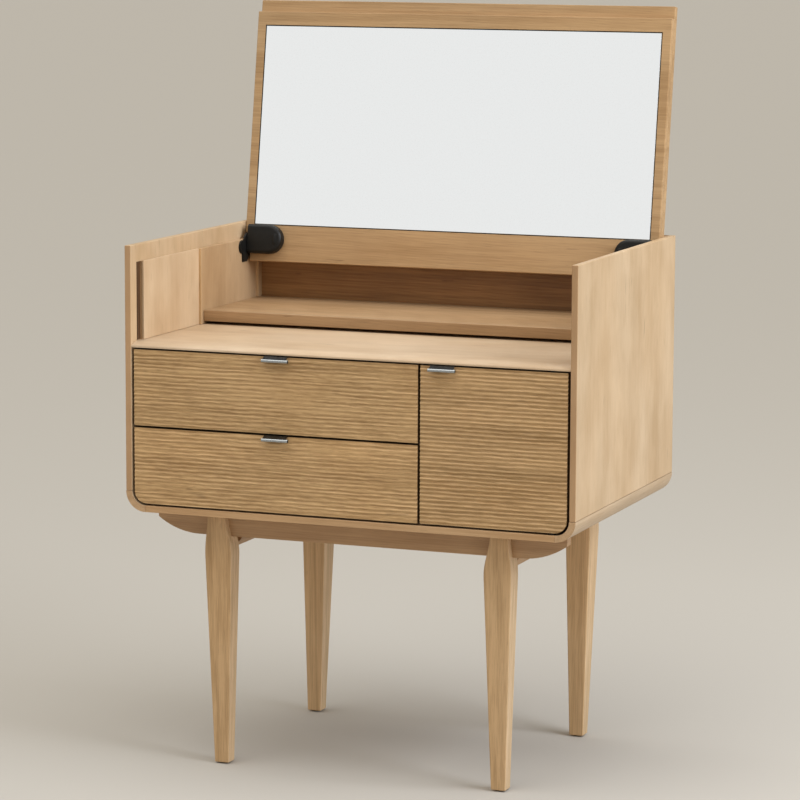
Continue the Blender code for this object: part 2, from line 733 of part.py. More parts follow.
def build_lid():
    hinge = make_empty("lid_hinge", (0.0, *LID_AXIS), (-LID_LEAN, 0.0, 0.0), TABLE)
    inner_back = LID_FACE + LID_INNER_THICK
    inner = lid_board("lid_inner_board", (LID_FACE, inner_back), LID_INNER_TOP, hinge)
    pocket = box(
        "mirror_pocket",
        (-MIRROR_HALF - MIRROR_MARGIN, MIRROR_HALF + MIRROR_MARGIN),
        (LID_FACE - MIRROR_THICK, LID_FACE + MIRROR_INSET + MIRROR_THICK + FIT),
        (MIRROR_SPAN[0] - MIRROR_MARGIN, MIRROR_SPAN[1] + MIRROR_MARGIN),
        parent=hinge,
        collection=CUTTERS,
    )
    boolean(inner, as_cutter(pocket), "DIFFERENCE")
    outer_y = (inner_back + FIT, LID_OUTER_BACK)
    lid_board("lid_outer_board", outer_y, LID_OUTER_TOP, hinge)
    glass_face = LID_FACE + MIRROR_INSET
    glass = box(
        "mirror",
        (-MIRROR_HALF, MIRROR_HALF),
        (glass_face, glass_face + MIRROR_THICK),
        MIRROR_SPAN,
        SILVER,
        hinge,
    )
    soften(glass, 0.0008, 1)
    for label, side in SIDES:
        build_housing(label, side, hinge)
        build_hinge_plate(label, side)


clear_scene()
PARTS = make_collection("vanity_table")
CUTTERS = make_collection("cutters")
OAK = make_material("oak", (0.58, 0.40, 0.23), 0.50)
OAK_RIBBED = make_material("oak_ribbed", (0.42, 0.27, 0.14), 0.55)
PINE = make_material("drawer_wood", (0.66, 0.50, 0.32), 0.60)
STEEL = make_material("steel", (0.40, 0.40, 0.41), 0.32, 1.0)
BLACK = make_material("black_plastic", (0.02, 0.02, 0.02), 0.45)
RUBBER = make_material("glide_felt", (0.05, 0.045, 0.04), 0.90)
SILVER = make_material("mirror_glass", (0.90, 0.91, 0.91), 0.03, 1.0)
TABLE = make_empty("table_frame", (0.0, FRONT_PLANE, 0.0))

build_sides()
build_linings()
build_boards()
build_cupboard()
build_base()
build_drawer("upper", UPPER_BOX, (FRONT_SPLIT_Z + REVEAL / 2, FRONT_TOP), 0)
build_drawer("lower", LOWER_BOX, (FLOOR_TOP + REVEAL, FRONT_SPLIT_Z - REVEAL / 2), -1)
build_door()
build_lid()
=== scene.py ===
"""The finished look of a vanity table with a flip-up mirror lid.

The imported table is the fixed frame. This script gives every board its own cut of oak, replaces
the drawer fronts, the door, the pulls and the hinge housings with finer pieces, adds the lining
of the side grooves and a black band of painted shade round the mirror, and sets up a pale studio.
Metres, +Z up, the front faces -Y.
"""

import json
import math
import random

import bmesh
import bpy
from mathutils import Matrix, Vector, noise


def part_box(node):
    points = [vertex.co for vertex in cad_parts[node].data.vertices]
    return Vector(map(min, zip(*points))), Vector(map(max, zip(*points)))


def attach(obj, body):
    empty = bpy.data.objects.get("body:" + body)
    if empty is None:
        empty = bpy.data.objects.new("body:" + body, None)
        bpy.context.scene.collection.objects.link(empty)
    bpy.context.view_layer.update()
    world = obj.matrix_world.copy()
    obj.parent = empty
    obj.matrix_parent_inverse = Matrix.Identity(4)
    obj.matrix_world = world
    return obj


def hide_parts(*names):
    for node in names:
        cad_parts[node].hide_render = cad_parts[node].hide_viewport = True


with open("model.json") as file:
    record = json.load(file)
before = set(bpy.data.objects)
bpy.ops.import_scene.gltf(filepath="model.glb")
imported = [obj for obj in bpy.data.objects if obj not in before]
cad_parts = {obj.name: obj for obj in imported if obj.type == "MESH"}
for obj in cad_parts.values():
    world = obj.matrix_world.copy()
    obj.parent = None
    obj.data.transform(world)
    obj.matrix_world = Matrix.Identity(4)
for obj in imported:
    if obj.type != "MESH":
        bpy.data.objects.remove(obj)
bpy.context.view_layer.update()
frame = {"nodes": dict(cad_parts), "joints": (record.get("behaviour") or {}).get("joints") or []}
NODES = frame["nodes"]

# Camera, in metres and radians: ahead of the front and to its right, looking a little down.
CAMERA_PLACE = (2.1236, -5.4957, 1.4756)
CAMERA_YAW = 0.3706
CAMERA_PITCH = 0.1453
CAMERA_ROLL = 0.0039
# Lens, sensor and the far end of what is drawn: millimetres, millimetres and metres.
CAMERA_LENS = 155.93
CAMERA_SENSOR = 36.0
CAMERA_REACH = 500


# ---------------------------------------------------------------- materials


class Shader:
    """A short way to wire a material's nodes."""

    def __init__(self, name):
        self.material = bpy.data.materials.new(name)
        self.material.use_nodes = True
        self.tree = self.material.node_tree
        self.principled = self.tree.nodes["Principled BSDF"]

    def node(self, kind, **settings):
        made = self.tree.nodes.new("ShaderNode" + kind)
        for key, value in settings.items():
            setattr(made, key, value)
        return made

    def link(self, source, target):
        self.tree.links.new(source, target)

    def set(self, **values):
        """Sets the shader's own sockets, spaces in their names written as underscores."""
        for key, value in values.items():
            self.principled.inputs[key.replace("_", " ")].default_value = value

    def math(self, operation, *values):
        """A sum on one to three numbers or sockets."""
        made = self.node("Math", operation=operation)
        for socket, value in zip(made.inputs, values):
            if isinstance(value, (int, float)):
                socket.default_value = value
            else:
                self.link(value, socket)
        return made.outputs[0]

    def spread(self, value, weight, onto):
        """Adds a 0 to 1 value, centred on zero and weighted, to a number or socket."""
        return self.math("MULTIPLY_ADD", self.math("SUBTRACT", value, 0.5), weight, onto)

    def split(self, source):
        """The X, Y and Z sockets of a vector."""
        made = self.node("SeparateXYZ")
        self.link(source, made.inputs[0])
        return made.outputs

    def mapped(self, source, scale=(1, 1, 1), location=(0, 0, 0), rotation=(0, 0, 0)):
        made = self.node("Mapping")
        made.inputs["Location"].default_value = location
        made.inputs["Rotation"].default_value = rotation
        made.inputs["Scale"].default_value = scale
        self.link(source, made.inputs["Vector"])
        return made.outputs[0]

    def noise(self, source, scale, detail=2.0, roughness=0.5, location=(0, 0, 0)):
        """Noise with its own scale, in cycles per metre, along each axis."""
        made = self.node("TexNoise")
        made.inputs["Scale"].default_value = 1.0
        made.inputs["Detail"].default_value = detail
        made.inputs["Roughness"].default_value = roughness
        self.link(self.mapped(source, scale, location), made.inputs["Vector"])
        return made.outputs["Fac"]

    def ramp(self, factor, *stops):
        """A ramp from (position, colour or grey) stops."""
        made = self.node("ValToRGB")
        elements = made.color_ramp.elements
        while len(elements) < len(stops):
            elements.new(1.0)
        for element, (position, colour) in zip(elements, stops):
            element.position = position
            grey = isinstance(colour, (int, float))
            element.color = (colour, colour, colour, 1) if grey else (*colour, 1)
        self.link(factor, made.inputs["Fac"])
        return made.outputs["Color"]

    def mix(self, kind, factor, first, second):
        made = self.node("Mix", data_type="RGBA", blend_type=kind)
        inputs = (made.inputs[0], made.inputs[6], made.inputs[7])
        for socket, value in zip(inputs, (factor, first, second)):
            if isinstance(value, (int, float)):
                socket.default_value = value
            elif isinstance(value, tuple):
                socket.default_value = (*value, 1)
            else:
                self.link(value, socket)
        return made.outputs[2]

    def bump(self, height, distance, strength=1.0):
        made = self.node("Bump")
        made.inputs["Distance"].default_value = distance
        made.inputs["Strength"].default_value = strength
        self.link(height, made.inputs["Height"])
        return made.outputs["Normal"]

    def finish(self, colour, roughness=None, normal=None):
        for name, source in (("Base Color", colour), ("Roughness", roughness), ("Normal", normal)):
            if source is not None:
                self.link(source, self.principled.inputs[name])
        return self.material


# Rotations that lay the grain, local X in the shader, along each axis of the table.
GRAIN = {
    "X": (0, 0, 0),
    "Y": (0, 0, -math.pi / 2),
    "Z": (0, math.pi / 2, 0),
}

# Light and dark oak tones, linear.
TONES = {
    "pale": ((0.615, 0.455, 0.288), (0.475, 0.327, 0.183)),
    "moulding": ((0.580, 0.438, 0.292), (0.455, 0.325, 0.196)),
    "desk": ((0.630, 0.485, 0.335), (0.500, 0.360, 0.226)),
    "lining": ((0.650, 0.483, 0.307), (0.515, 0.355, 0.207)),
    "leg": ((0.650, 0.468, 0.282), (0.455, 0.308, 0.164)),
    # Painted light: the rear legs take a paler copy of the legs' tone, lifting the shade they stand in
    # under the table.
    "leg_rear_painted_light": ((0.730, 0.530, 0.322), (0.520, 0.356, 0.192)),
    "apron": ((0.490, 0.315, 0.170), (0.350, 0.206, 0.101)),
    "warm": ((0.560, 0.365, 0.195), (0.425, 0.254, 0.122)),
    "lid": ((0.520, 0.340, 0.174), (0.360, 0.218, 0.099)),
    "shade": ((0.525, 0.360, 0.206), (0.390, 0.252, 0.131)),
    "shelf": ((0.450, 0.292, 0.156), (0.310, 0.188, 0.090)),
    "front": ((0.565, 0.365, 0.172), (0.375, 0.227, 0.094)),
    "front_low": ((0.600, 0.390, 0.187), (0.400, 0.243, 0.103)),
    "front_door": ((0.545, 0.354, 0.170), (0.360, 0.221, 0.093)),
    # Dark, for the back panel: partly a darker board and partly painted shade from the hollow under
    # the lid.
    "dark": ((0.390, 0.205, 0.078), (0.185, 0.085, 0.028)),
    "groove": ((0.120, 0.059, 0.024), (0.056, 0.027, 0.011)),
    "pine": ((0.700, 0.520, 0.320), (0.600, 0.420, 0.230)),
}

# How strongly each layer of figure shows: rings, fibres, strands, broad bands and mottle.
FIGURES = {
    "veneer": (0.03, 0.16, 0.13, 0.38, 1.15),
    "sawn": (0.32, 0.60, 0.75, 0.60, 0.55),
    "reeded": (0.30, 0.95, 0.72, 0.46, 0.60),
    "leg": (0.30, 1.05, 1.15, 0.75, 0.40),
}
# How far a full swing of each kind of layer shifts the wood between its two tones.
RING_GAIN = 0.5
STREAK_GAIN = 2.2
MOTTLE_GAIN = 2.0
CHIP_GAIN = 2.3
STAVE_GAIN = 0.30
# How far, in metres, the rings drift along a board and ripple on the way.
RING_DRIFT = 0.10
RING_RIPPLE = 0.006
# Pores, and knots and flecks, as shares of the dark tone.
PORE_SHADE = 0.58
FLECK_SHADE = 0.62


def oak(name, grain, tone, figure, spacing, tilt, staves=None, edge=None):
    """Lacquered oak with growth rings, fibres, pores, flecks and broad shifts of tone.

    spacing is the mean ring spacing on the face, in metres, and tilt leans the log's axis,
    which draws out the arches of a plain-sawn board. staves is (axis, width) of glued strips.
    edge is (faces, tint): painted light and shade, a tint multiplied onto either the faces "ahead",
    which look forwards or back, or those "around" them, which do not.
    """
    picks = random.Random(name)
    light, dark = TONES[tone]
    rings, fibres, strands, bands, mottles = FIGURES[figure]
    s = Shader("oak_" + name)
    place = s.node("TexCoord").outputs["Object"]
    shift = tuple(picks.uniform(-4, 4) for _ in range(3))
    stave_tone = None
    if staves:
        axis, width = staves
        index = s.math("FLOOR", s.math("DIVIDE", s.split(place)[axis], width))
        random_tone = s.node("TexWhiteNoise", noise_dimensions="1D")
        s.link(index, random_tone.inputs["W"])
        stave_tone = random_tone.outputs["Value"]
        slide = s.node("CombineXYZ")
        s.link(s.math("MULTIPLY", stave_tone, 3.0), slide.inputs[0])
        moved = s.node("VectorMath", operation="ADD")
        s.link(place, moved.inputs[0])
        s.link(slide.outputs[0], moved.inputs[1])
        place = moved.outputs[0]
    turned = s.mapped(place, rotation=GRAIN[grain])
    board = s.mapped(turned, location=shift)

    # Growth rings: distance from a pith below the face, drifting along the board.
    drift = s.noise(board, (1.6, 7, 7))
    ripple = s.noise(board, (7, 40, 40))
    pith = (0, picks.uniform(-0.05, 0.05), picks.uniform(0.05, 0.09))
    along, beside, below = s.split(s.mapped(turned, location=pith))
    across = s.spread(drift, RING_DRIFT, beside)
    depth = s.math("MULTIPLY_ADD", along, tilt, below)
    radius = s.math("SQRT", s.math("ADD", s.math("POWER", across, 2), s.math("POWER", depth, 2)))
    radius = s.spread(ripple, RING_RIPPLE, radius)
    ring = s.math("FRACT", s.math("DIVIDE", radius, spacing))
    early = s.ramp(ring, (0.0, 0.85), (0.12, 1.0), (0.45, 0.25), (0.80, 0.0), (1.0, 0.7))

    # Fibres, strands and bands run with the grain; mottle clouds the finish.
    fibre = s.noise(board, (8, 420, 420), detail=4, roughness=0.65)
    strand = s.noise(board, (2.6, 105, 105), detail=3, roughness=0.6)
    band = s.noise(board, (0.9, 24, 24))
    mottle = s.noise(board, (6, 13, 13), detail=3, roughness=0.6)
    layers = [(early, rings * RING_GAIN), (fibre, fibres * STREAK_GAIN)]
    layers += [(strand, strands * STREAK_GAIN), (band, bands * STREAK_GAIN)]
    layers += [(mottle, mottles * MOTTLE_GAIN)]
    if stave_tone is not None:
        layers.append((stave_tone, STAVE_GAIN))
    if figure == "reeded":
        chip = s.noise(board, (44, 340, 340), detail=3, roughness=0.65)
        layers.append((chip, CHIP_GAIN))
    total = 0.5
    for value, weight in layers:
        total = s.spread(value, weight, total)
    colour = s.mix("MIX", s.ramp(total, (0.0, 0.0), (1.0, 1.0)), light, dark)
    # Painted light and shade: the edge tint is multiplied onto the chosen faces.
    if edge:
        faces, tint = edge
        forward = s.math("ABSOLUTE", s.split(s.node("TexCoord").outputs["Normal"])[1])
        test, limit = ("GREATER_THAN", 0.6) if faces == "ahead" else ("LESS_THAN", 0.3)
        colour = s.mix("MULTIPLY", s.math(test, forward, limit), colour, tint)

    # Open pores lie in the early wood, and a few small knots and flecks break the grain.
    pore = s.noise(board, (34, 1200, 1200), detail=1)
    pores = s.ramp(pore, (0.60, 0.0), (0.70, 1.0))
    pores = s.math("MULTIPLY", pores, s.math("MULTIPLY_ADD", early, 0.7, 0.3))
    pore_colour, fleck_colour = (tuple(c * share for c in dark) for share in (PORE_SHADE, FLECK_SHADE))
    colour = s.mix("MIX", s.math("MULTIPLY", pores, 0.32), colour, pore_colour)
    fleck = s.noise(board, (16, 95, 95), location=(5, 2, 7))
    flecks = s.ramp(fleck, (0.715, 0.0), (0.80, 0.75))
    colour = s.mix("MIX", flecks, colour, fleck_colour)
    blush = s.noise(board, (3.0, 6, 6), location=(3, 1, 2))
    colour = s.mix("MULTIPLY", s.ramp(blush, (0.38, 0.0), (0.66, 0.8)), colour, (1.0, 0.955, 0.89))

    height = s.math("MULTIPLY_ADD", pores, -0.8, s.math("MULTIPLY", fibre, 0.5))
    normal = s.bump(height, 0.0005 if figure == "reeded" else 0.0002, 0.6)
    rough = s.ramp(fibre, (0.30, 0.42), (0.75, 0.56))
    s.set(Specular_IOR_Level=0.40, Coat_Weight=0.06, Coat_Roughness=0.35)
    return s.finish(colour, rough, normal)


def steel(name, colour, roughness):
    """Brushed metal with fine streaks along X and faint smudges."""
    s = Shader(name)
    place = s.node("TexCoord").outputs["Object"]
    streak = s.noise(place, (60, 3000, 3000))
    smudge = s.noise(place, (70, 70, 70), detail=3)
    wear = s.math("MULTIPLY_ADD", streak, 0.5, s.math("MULTIPLY", smudge, 0.5))
    shade = s.ramp(wear, (0.30, tuple(c * 0.80 for c in colour)), (0.70, colour))
    rough = s.ramp(wear, (0.30, roughness - 0.07), (0.75, roughness + 0.10))
    s.set(Metallic=1.0)
    return s.finish(shade, rough, s.bump(streak, 0.00004))


def plastic(name, colour, roughness):
    """Moulded plastic with a spark-eroded grain and faint handling marks."""
    s = Shader(name)
    place = s.node("TexCoord").outputs["Object"]
    grain = s.noise(place, (2600, 2600, 2600))
    marks = s.noise(place, (120, 120, 120), detail=3)
    shade = s.ramp(marks, (0.35, colour), (0.75, tuple(c * 1.5 for c in colour)))
    rough = s.ramp(marks, (0.30, roughness - 0.06), (0.75, roughness + 0.08))
    s.set(Specular_IOR_Level=0.28)
    return s.finish(shade, rough, s.bump(grain, 0.00006, 0.7))


def felt(name):
    """Dark, fuzzy felt."""
    s = Shader(name)
    place = s.node("TexCoord").outputs["Object"]
    fuzz = s.noise(place, (1500, 1500, 1500), detail=4, roughness=0.7)
    shade = s.ramp(fuzz, (0.3, (0.030, 0.026, 0.022)), (0.7, (0.075, 0.066, 0.056)))
    s.set(Roughness=0.95, Sheen_Weight=0.4)
    return s.finish(shade, None, s.bump(fuzz, 0.0004))


def silvered_glass(name):
    """A mirror with the faintest film of dust."""
    s = Shader(name)
    place = s.node("TexCoord").outputs["Object"]
    dust = s.noise(place, (400, 400, 400), detail=4, roughness=0.7)
    rough = s.ramp(dust, (0.45, 0.015), (0.85, 0.05))
    shade = s.ramp(dust, (0.40, (0.90, 0.915, 0.91)), (0.80, (0.875, 0.89, 0.885)))
    s.set(Metallic=1.0)
    return s.finish(shade, rough)


BLACK = plastic("hinge_black", (0.0065, 0.0065, 0.0058), 0.46)
# Painted reflection and shade: the pull's sheet is the same steel as its roll, darkened to stand in
# for the dark gap and desk underside it mirrors.
PULL_PAINTED_DARK = steel("pull_painted_dark", (0.075, 0.080, 0.088), 0.24)
PULL_GRIP = steel("pull_polished", (0.40, 0.425, 0.435), 0.24)

# Each board of oak: its grain's axis, tone, figure, ring spacing, the log's lean and any staves.
BOARDS = {
    "left_side_panel": ("Z", "pale", "veneer", 0.0060, 0.10),
    "right_side_panel": ("Z", "pale", "veneer", 0.0060, 0.10),
    "left_corner_moulding": ("Y", "moulding", "sawn", 0.0040, 0.02),
    "right_corner_moulding": ("Y", "moulding", "sawn", 0.0040, 0.02),
    "left_front_lining": ("Z", "lining", "veneer", 0.0050, 0.08),
    "right_front_lining": ("Z", "lining", "veneer", 0.0050, 0.08),
    "left_rear_lining": ("Z", "shade", "veneer", 0.0050, 0.12),
    "right_rear_lining": ("Z", "shade", "veneer", 0.0050, 0.12),
    "bottom_board": ("X", "warm", "sawn", 0.0050, 0.05),
    "desk_board": ("X", "desk", "veneer", 0.0055, 0.06),
    "rear_shelf": ("X", "shelf", "sawn", 0.0050, 0.08),
    "back_panel": ("X", "dark", "sawn", 0.0060, 0.05),
    "rear_top_rail": ("X", "warm", "sawn", 0.0040, 0.05),
    "partition": ("Z", "warm", "sawn", 0.0050, 0.05),
    "cupboard_shelf": ("X", "warm", "sawn", 0.0050, 0.05),
    "front_apron": ("X", "apron", "sawn", 0.0035, 0.03),
    "rear_apron": ("X", "apron", "sawn", 0.0035, 0.03),
    "left_rail": ("Y", "apron", "sawn", 0.0035, 0.03),
    "right_rail": ("Y", "apron", "sawn", 0.0035, 0.03),
    "front_left_leg": ("Z", "leg", "leg", 0.0032, 0.03),
    "front_right_leg": ("Z", "leg", "leg", 0.0032, 0.03),
    "rear_left_leg": ("Z", "leg_rear_painted_light", "leg", 0.0032, 0.03),
    "rear_right_leg": ("Z", "leg_rear_painted_light", "leg", 0.0032, 0.03),
    "lid_inner_board": ("X", "lid", "sawn", 0.0045, 0.06, (2, 0.0745)),
    "lid_outer_board": ("X", "lid", "sawn", 0.0045, 0.06, (2, 0.0745)),
}
for drawer in ("upper_drawer_", "lower_drawer_"):
    for board, grain in (("left_side", "Y"), ("right_side", "Y"), ("back", "X"), ("base", "X")):
        BOARDS[drawer + board] = (grain, "pine", "sawn", 0.0045, 0.04)

# Painted light and shade: the tint of the faces that look forwards or back, on the boards whose names
# end so.
# It paints shade on the side panels, corner mouldings and legs, and light on the rear linings' step.
PAINTED_FACE_LIGHT = {
    "_side_panel": (0.82, 0.70, 0.60),
    "_corner_moulding": (0.95, 0.84, 0.72),
    "_rear_lining": (1.22, 1.24, 1.22),
    "_leg": (0.90, 0.83, 0.73),
}
# Painted shade: the dark tint on the edges of the drawer fronts and the door, standing in for the
# shadow in the joints round them.
FRONT_EDGE_SHADE = (0.25, 0.22, 0.20)


def dress(obj, material):
    """Puts a material in every slot of an object."""
    for slot in obj.material_slots:
        slot.material = material


def dress_table():
    """Gives every CAD node its material."""
    for name, board in BOARDS.items():
        # Boards listed with a face tint get painted light and shade on their faces ahead.
        tints = [tint for ending, tint in PAINTED_FACE_LIGHT.items() if name.endswith(ending)]
        dress(NODES[name], oak(name, *board, edge=("ahead", tints[0]) if tints else None))
    runner = steel("runner_zinc", (0.52, 0.53, 0.54), 0.36)
    pivots = steel("pivot_blackened", (0.045, 0.044, 0.042), 0.42)
    felts = felt("glide_felt_fuzz")
    for name, obj in NODES.items():
        if "_runner_" in name:
            dress(obj, runner)
        elif name.startswith("door_") and name != "door_handle":
            dress(obj, pivots)
        elif name.endswith("_glide"):
            dress(obj, felts)
        elif "_hinge_" in name:
            dress(obj, BLACK)
    dress(NODES["mirror"], silvered_glass("mirror_silver"))


# ---------------------------------------------------------------- pieces


def piece(name, shape, material, body, node=None):
    """Links a bmesh as a piece that rides on a body and may stand for one of its CAD nodes."""
    bmesh.ops.recalc_face_normals(shape, faces=shape.faces)
    mesh = bpy.data.meshes.new(name)
    shape.to_mesh(mesh)
    shape.free()
    mesh.materials.append(material)
    obj = bpy.data.objects.new(name, mesh)
    bpy.context.scene.collection.objects.link(obj)
    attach(obj, body)
    if node:
        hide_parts(node)
    return obj


def smooth(obj, degrees):
    """Smooth shading, with edges that turn by more than this left sharp."""
    obj.data.shade_smooth()
    obj.data.set_sharp_from_angle(angle=math.radians(degrees))


def bridge(shape, near, far):
    """Fills the band between two loops with the same number of points, and returns its faces."""
    made = []
    for index in range(len(near)):
        after = (index + 1) % len(near)
        made.append(shape.faces.new((near[index], near[after], far[after], far[index])))
    return made


RIB_PITCH = 0.00695
# The mesh of a ribbed face: how wide its columns and how high its rows are.
RIB_COLUMN = 0.005
RIB_ROW = 0.0006
# How far the crests wander in long waves and in short ones, and how deep the saw tore.
RIB_WANDER = 0.0010
RIB_JITTER = 0.0011
RIB_TEAR = 0.00014
RIB_WEAKEST, RIB_STRONGEST = 0.12, 1.15
# How much smaller than the CAD front the visible one is, so that its joints stay open and dark.
JOINT_EASE = 0.0006
FRONT_CORNER = 0.021


def uneven(x, z, wide, tall, seed):
    """Noise over a front; wide and tall are its cycles per metre across and up."""
    return noise.noise(Vector((x * wide, z * tall, seed)))


def rib_depth(x, z, seed, depth, evenness):
    """How far the face is cut back: level ribs whose crests wander, swell and fade."""
    loose = 1.75 - evenness
    wander = uneven(x, z, 9.0, 60.0, seed) * RIB_WANDER * loose
    wander += uneven(x, z, 34.0, 150.0, seed + 5.0) * RIB_JITTER * loose**2
    phase = 2 * math.pi * (z + wander) / RIB_PITCH
    wave = (1 - math.cos(phase)) / 2
    swell = uneven(x, z, 6.0, 24.0, seed + 9.0)
    swell += 0.8 * uneven(x, z, 16.0, 130.0, seed + 12.0)
    strength = evenness + (RIB_STRONGEST - evenness) * swell
    strength = min(RIB_STRONGEST, max(RIB_WEAKEST, strength))
    tear = uneven(x, z, 60.0, 700.0, seed + 14.0) * RIB_TEAR
    return max(0.0, depth * wave * strength + tear)


def ribbed_front(node, body, tone, seed, rounded, depth, evenness):
    """A solid front with uneven ribs.

    rounded is the side of the lower corner that is rounded, -1 for left or 1 for right, or 0.
    """
    low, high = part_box(node)
    low, high = low + Vector((JOINT_EASE, 0, JOINT_EASE)), high - Vector((JOINT_EASE, 0, 0))
    columns = round((high.x - low.x) / RIB_COLUMN)
    rows = round((high.z - low.z) / RIB_ROW)
    shape = bmesh.new()
    grid = []
    for row in range(rows + 1):
        z = low.z + (high.z - low.z) * row / rows
        rise = max(0.0, low.z + FRONT_CORNER - z)
        inset = FRONT_CORNER - math.sqrt(max(0.0, FRONT_CORNER**2 - rise**2))
        left = low.x + (inset if rounded < 0 else 0.0)
        right = high.x - (inset if rounded > 0 else 0.0)
        line = []
        for column in range(columns + 1):
            x = left + (right - left) * column / columns
            y = low.y + rib_depth(x, z, seed, depth, evenness)
            line.append(shape.verts.new((x, y, z)))
        grid.append(line)
    back = []
    for line in grid:
        ends = (line[0].co.x, line[-1].co.x)
        back.append([shape.verts.new((x, high.y, line[0].co.z)) for x in ends])
    for row in range(rows):
        for column in range(columns):
            near, far = grid[row], grid[row + 1]
            shape.faces.new((near[column], near[column + 1], far[column + 1], far[column]))
        shape.faces.new((back[row][1], back[row][0], back[row + 1][0], back[row + 1][1]))
        shape.faces.new((back[row][0], grid[row][0], grid[row + 1][0], back[row + 1][0]))
        shape.faces.new((grid[row][-1], back[row][1], back[row + 1][1], grid[row + 1][-1]))
    shape.faces.new([back[0][0], back[0][1], *reversed(grid[0])])
    shape.faces.new([*grid[-1], back[-1][1], back[-1][0]])
    # Painted shade on the front's edges, which face into the shaded joints.
    material = oak(node, "X", tone, "reeded", 0.0042, 0.05, edge=("around", FRONT_EDGE_SHADE))
    smooth(piece(node + "_reeded", shape, material, body, node), 50)


def strip(points, thickness):
    """The closed outline of a sheet of even thickness that follows a line of points."""
    near, far = [], []
    for index, point in enumerate(points):
        before = Vector(points[max(0, index - 1)])
        after = Vector(points[min(len(points) - 1, index + 1)])
        along = (after - before).normalized()
        offset = Vector((-along.y, along.x)) * thickness / 2
        near.append(Vector(point) + offset)
        far.append(Vector(point) - offset)
    return near + far[::-1]


def extrude(shape, outline, ends, material_index):
    """Adds an outline of (Y, Z) points, extruded along X, to a bmesh."""
    near, far = ([shape.verts.new((x, y, z)) for y, z in outline] for x in ends)
    faces = bridge(shape, near, far) + [shape.faces.new(near), shape.faces.new(far[::-1])]
    for face in faces:
        face.material_index = material_index


# A pull: its sheet, the radius of its rear bend, the roll's radius, the angle at which it slopes
# down, how far round the roll turns, and how much narrower the sheet is than the roll.
PULL_SHEET = 0.0011
PULL_BEND = 0.0015
PULL_BEND_STEPS = 4
PULL_ROLL = 0.0023
PULL_DROP = math.radians(27)
PULL_CURL = math.radians(318)
PULL_CURL_STEPS = 18
PULL_SHORTER = (0.0015, 0.0035)


def pull(node, body, face_y):
    """A sheet hooked over a front's top edge, sloping forward to an open rolled grip."""
    low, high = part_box(node)
    top = high.z - PULL_SHEET / 2
    bend_y = high.y - PULL_SHEET / 2 - PULL_BEND
    bend_z = top - PULL_BEND
    line = [(bend_y + PULL_BEND, low.z), (bend_y + PULL_BEND, bend_z)]
    for step in range(1, PULL_BEND_STEPS + 1):
        turn = math.radians(90 * step / PULL_BEND_STEPS)
        line.append((bend_y + PULL_BEND * math.cos(turn), bend_z + PULL_BEND * math.sin(turn)))
    outer = PULL_ROLL + PULL_SHEET / 2
    centre_y = low.y + outer + 0.0001
    start_y = centre_y - PULL_ROLL * math.sin(PULL_DROP)
    start_z = top - (face_y - start_y) * math.tan(PULL_DROP)
    centre = Vector((centre_y, start_z - PULL_ROLL * math.cos(PULL_DROP)))
    line += [(face_y + 0.0008, top), (face_y - 0.0008, top - 0.0006)]
    roll = []
    for step in range(PULL_CURL_STEPS + 1):
        turn = math.radians(90) + PULL_DROP + PULL_CURL * step / PULL_CURL_STEPS
        roll.append((centre.x + PULL_ROLL * math.cos(turn), centre.y + PULL_ROLL * math.sin(turn)))
    shape = bmesh.new()
    sheet_ends = (low.x + PULL_SHORTER[0], high.x - PULL_SHORTER[1])
    # The sheet stops a hair short of the roll.
    join = (roll[0][0] + 0.0003 * math.cos(PULL_DROP), roll[0][1] + 0.0003 * math.sin(PULL_DROP))
    extrude(shape, strip(line + [join], PULL_SHEET), sheet_ends, 0)
    extrude(shape, strip(roll, PULL_SHEET), (low.x, high.x), 1)
    # Painted shade: the inside of the roll takes the sheet's darkened steel.
    for face in shape.faces:
        middle = face.calc_center_median()
        inside = Vector((middle.y, middle.z)) - centre
        if face.material_index == 1 and inside.length < PULL_ROLL - PULL_SHEET / 4:
            face.material_index = 0
    obj = piece(node + "_rolled", shape, PULL_PAINTED_DARK, body, node)
    obj.data.materials.append(PULL_GRIP)
    smooth(obj, 40)


def lid_frame():
    """The turn from the lid's own frame, its board upright, to the world, with the lid open."""
    hinge = next(joint for joint in frame["joints"] if joint["name"] == "lid_hinge")
    lean = math.radians(hinge["range_deg"][1] - 90)
    return Matrix.Translation(hinge["pos_m"]) @ Matrix.Rotation(-lean, 4, "X")


def local_box(node, turn):
    """The lowest and highest corners of a CAD node in a turned frame."""
    back = turn.inverted()
    corners = [back @ vertex.co for vertex in NODES[node].data.vertices]
    low = Vector(min(corner[axis] for corner in corners) for axis in range(3))
    high = Vector(max(corner[axis] for corner in corners) for axis in range(3))
    return low, high


# A hinge housing: the rounding of its nose, and its parting line as (way from its back, inset).
HOUSING_ROUND = 0.0062
HOUSING_PARTING = ((0.0, 0.0), (0.0030, 0.0), (0.0034, 0.0006), (0.0038, 0.0006), (0.0042, 0.0))
HOUSING_ARC_STEPS = 24
HOUSING_NOSE_STEPS = 8
# Its screw cover: how far in from the round end, half its straight length, its steps as
# (radius, rise), how deep it is let in, and the points round it.
COVER_IN = 0.0145
COVER_STRAIGHT = 0.0055
COVER_STEPS = ((0.0045, 0.0), (0.0045, 0.0010), (0.0036, 0.0015))
COVER_SUNK = 0.0006
COVER_POINTS = 24


